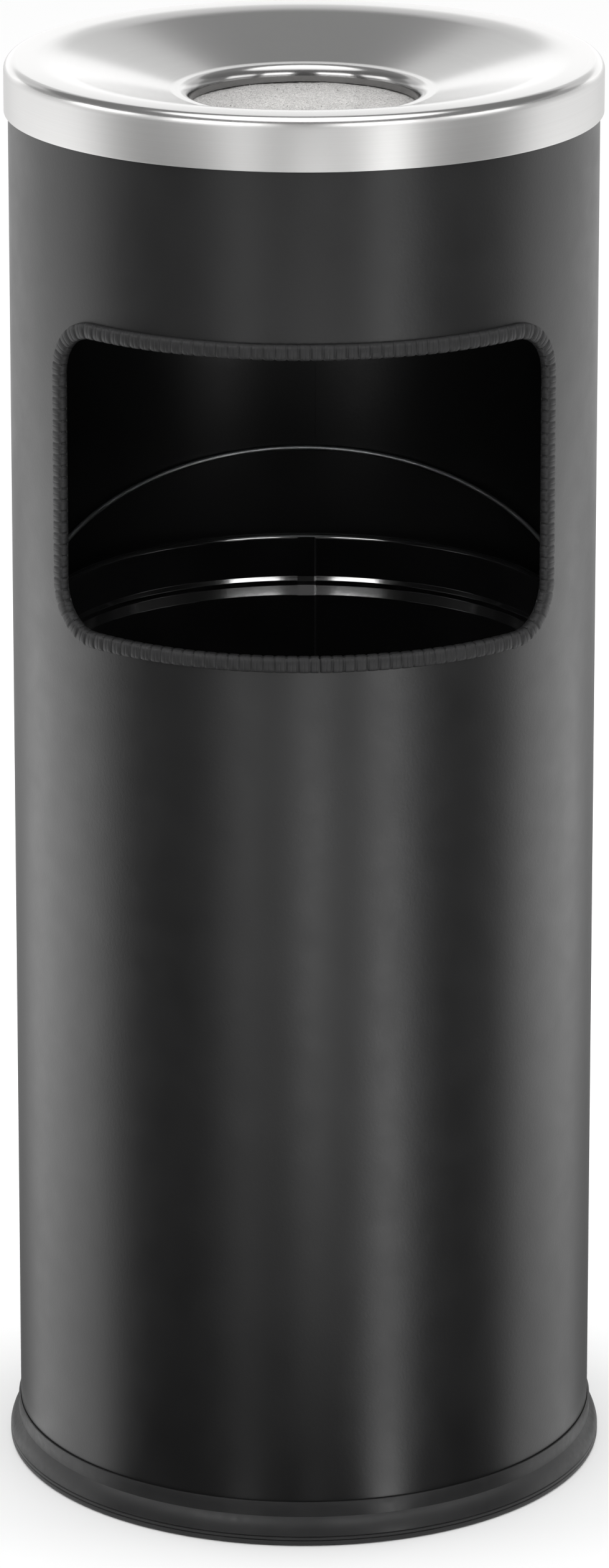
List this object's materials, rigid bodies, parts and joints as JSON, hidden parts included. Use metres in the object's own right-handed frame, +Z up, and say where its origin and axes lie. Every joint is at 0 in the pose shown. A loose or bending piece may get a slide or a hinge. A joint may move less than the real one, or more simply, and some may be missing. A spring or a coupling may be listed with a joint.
{
  "type": "ashtray bin",
  "caption": "Round free-standing black steel litter bin with a side opening, a dished stainless sand ashtray on top and a lift-out bucket inside.",
  "frame": {"origin": "on the floor, at the centre of the column", "axes": "+Z up the column, -Y towards the waste opening, +X to the right as seen from the front"},
  "size_m": [0.2598, 0.2598, 0.62],
  "materials": {
    "satin_black_coat": "satin powder coat",
    "black_plastic": "semi-matt moulded",
    "trim_rubber": "satin ribbed",
    "carrier_steel": "plain strip",
    "stainless": "brushed stainless",
    "galvanised": "galvanised",
    "sand": "fine dry quartz sand",
    "gloss_black_coat": "gloss coat",
    "rim_steel": "plain wire",
    "zinc_plate": "zinc plated",
    "rivet_aluminium": "plain",
    "bail_steel": "zinc-plated wire"
  },
  "bodies": {
    "shell": {"outer_shell": "satin_black_coat", "shell_seam_weld": "satin_black_coat", "shell_floor": "satin_black_coat", "floor_ring": "black_plastic", "edge_trim": "trim_rubber", "trim_carrier": "carrier_steel"},
    "bucket": {"bucket_wall": "gloss_black_coat", "bucket_floor": "gloss_black_coat", "bucket_lap_seam": "gloss_black_coat", "bucket_rim_wire": "rim_steel", "handle_ear_right": "zinc_plate", "handle_ear_left": "zinc_plate", "ear_rivets": "rivet_aluminium"},
    "bail": {"bail_handle": "bail_steel"},
    "pan": {"ash_pan": "galvanised", "quartz_sand": "sand"},
    "lid": {"ash_lid": "stainless"}
  },
  "joints": [
    {"name": "bucket_lift", "type": "slide", "parent": "shell", "child": "bucket", "axis": [0, 0, 1], "range_m": [0, 0.62]},
    {"name": "bail_swing", "type": "hinge", "parent": "bucket", "child": "bail", "pos_m": [0, 0, 0.366], "axis": [1, 0, 0], "range_deg": [0, 127]},
    {"name": "pan_lift", "type": "slide", "parent": "bucket", "child": "pan", "axis": [0, 0, 1], "range_m": [0, 0.12]},
    {"name": "lid_lift", "type": "slide", "parent": "pan", "child": "lid", "axis": [0, 0, 1], "range_m": [0, 0.12]}
  ]
}
